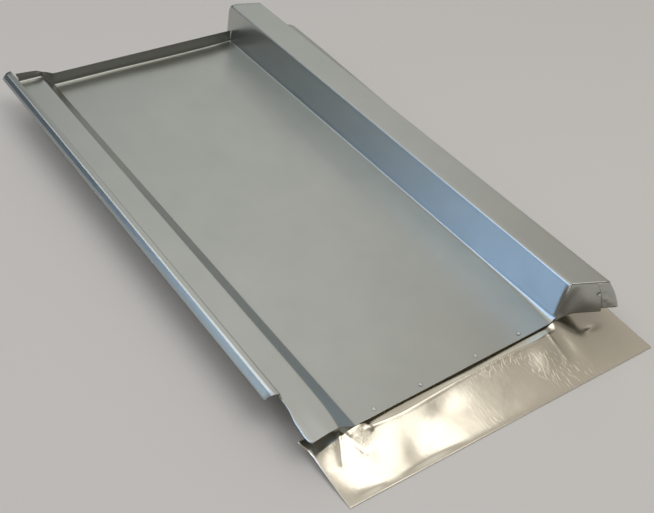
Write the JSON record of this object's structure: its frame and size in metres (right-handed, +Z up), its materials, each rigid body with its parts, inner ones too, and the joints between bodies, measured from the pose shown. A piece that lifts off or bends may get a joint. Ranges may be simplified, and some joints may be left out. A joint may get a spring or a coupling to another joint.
{
  "type": "metal roof tile",
  "caption": "Folded sheet-metal roof tile with a raised side rib, hemmed side channel, rear upstand, soft front apron and batten hooks.",
  "frame": {"origin": "middle of the surface that the tile stands on, under the centre of its outline", "axes": "+Z up from the tray, +Y towards the ridge end of the tile, +X across it towards the raised rib"},
  "size_m": [0.2706, 0.474, 0.049],
  "materials": {
    "galvanised_sheet": "satin zinc-coated sheet",
    "soft_aluminium": "bright, hand-dressed, softly creased",
    "rivet_metal": "satin",
    "hook_steel": "satin zinc-coated strip"
  },
  "bodies": {
    "root": {"cover_plate": "galvanised_sheet", "apron": "soft_aluminium", "apron_rivet_1": "rivet_metal", "apron_rivet_2": "rivet_metal", "apron_rivet_3": "rivet_metal", "apron_rivet_4": "rivet_metal", "rib_end_rivet": "rivet_metal", "hanging_hook_left": "hook_steel", "hanging_hook_right": "hook_steel"}
  },
  "joints": []
}
